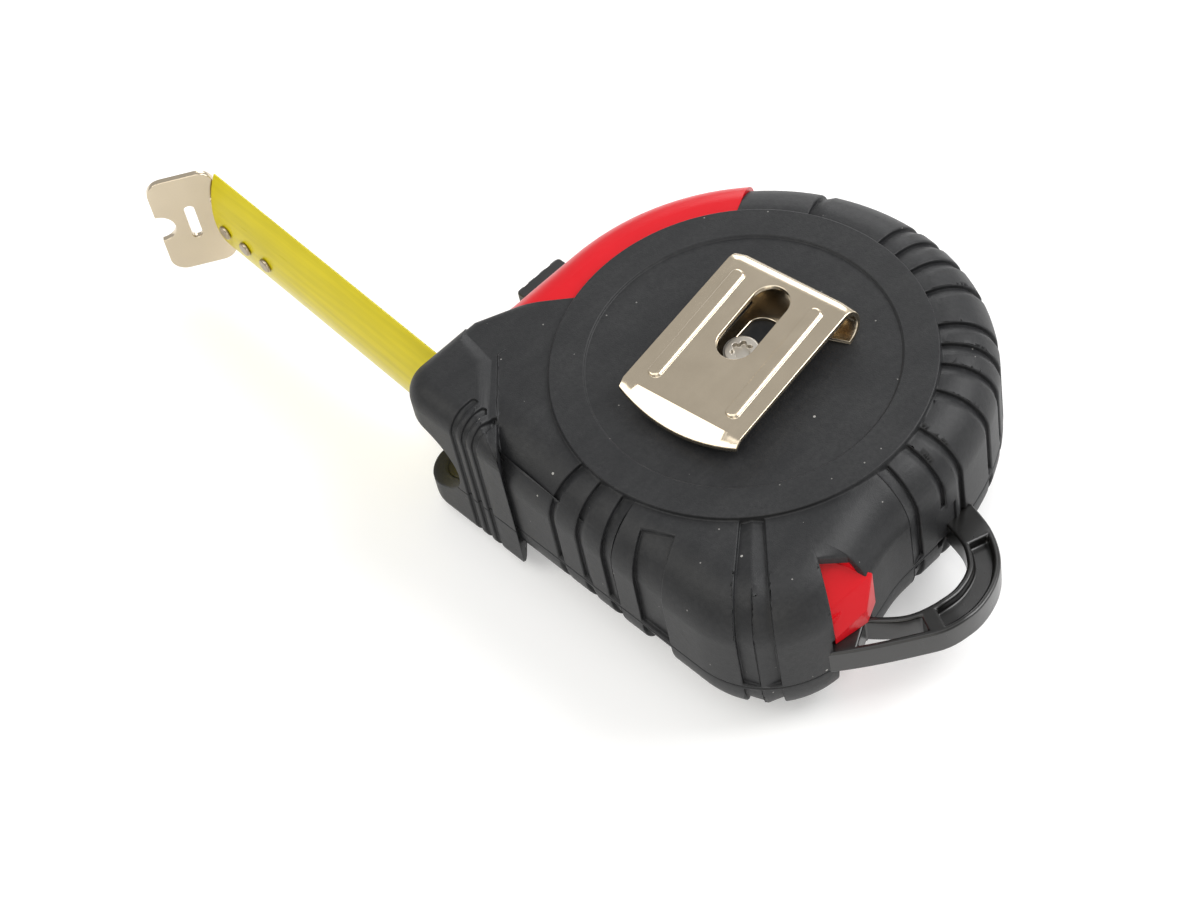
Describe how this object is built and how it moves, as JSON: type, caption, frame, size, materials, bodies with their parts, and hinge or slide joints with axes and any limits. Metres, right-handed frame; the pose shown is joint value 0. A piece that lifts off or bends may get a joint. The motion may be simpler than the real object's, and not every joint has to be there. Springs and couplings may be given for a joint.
{
  "type": "tape measure",
  "caption": "Rubber-armoured pocket tape measure with red case, belt clip, thumb lock, wrist loop and a yellow steel tape partly drawn out to its end hook",
  "frame": {"origin": "on the reel axis, in the plane of the front face that the tape measure lies on", "axes": "+Z along the reel axis from the front face to the clip face, -X from the case to the end hook, +Y from the base to the top of the case"},
  "size_m": [0.1431, 0.0695, 0.0336],
  "materials": {
    "armour": "matte charcoal rubber with a dusty, slightly worn surface",
    "shell": "glossy moulded plastic, bright red",
    "nickel": "nickel-plated pressed steel",
    "screw_steel": "zinc-plated steel with a cross recess",
    "tape_yellow": "yellow lacquered spring steel",
    "lock_black": "moulded black plastic",
    "loop_black": "glossy moulded black plastic",
    "reel_white": "natural moulded plastic",
    "spring_steel": "blued spring steel strip",
    "post_steel": "turned steel",
    "washer_fibre": "thin fibre sheet",
    "brake_rubber": "matte rubber pad"
  },
  "bodies": {
    "case": {"back_case": "shell", "front_case": "shell", "back_jacket": "armour", "front_jacket": "armour", "belt_clip": "nickel", "clip_screw": "screw_steel", "case_screws": "screw_steel", "centre_post": "post_steel", "reel_washers": "washer_fibre", "wrist_loop": "loop_black", "tape_lead": "tape_yellow"},
    "tape": {"tape_blade": "tape_yellow", "hook_rivets": "nickel"},
    "hook": {"end_hook": "nickel"},
    "reel": {"reel_drum": "reel_white", "reel_cover": "reel_white", "tape_coil": "tape_yellow", "power_spring": "spring_steel"},
    "lock": {"lock_button": "lock_black", "brake_block": "brake_rubber"}
  },
  "joints": [
    {"name": "tape_slide", "type": "slide", "parent": "case", "child": "tape", "axis": [-0.9993, 0.0384, 0], "range_m": [-0.054, 0], "deforming": ["tape_lead"]},
    {"name": "reel_spin", "type": "hinge", "parent": "case", "child": "reel", "pos_m": [0, 0, 0.014], "axis": [0, 0, 1], "range_deg": [0, 144], "deforming": ["power_spring"]},
    {"name": "hook_float", "type": "slide", "parent": "tape", "child": "hook", "axis": [-0.9993, 0.0384, 0], "range_m": [0, 0.001]},
    {"name": "lock_slide", "type": "slide", "parent": "case", "child": "lock", "axis": [0, 1, 0], "range_m": [0, 0.005]}
  ],
  "couplings": [
    {"joint": "reel_spin", "follows": "tape_slide", "rad_per_m": -46.512}
  ]
}
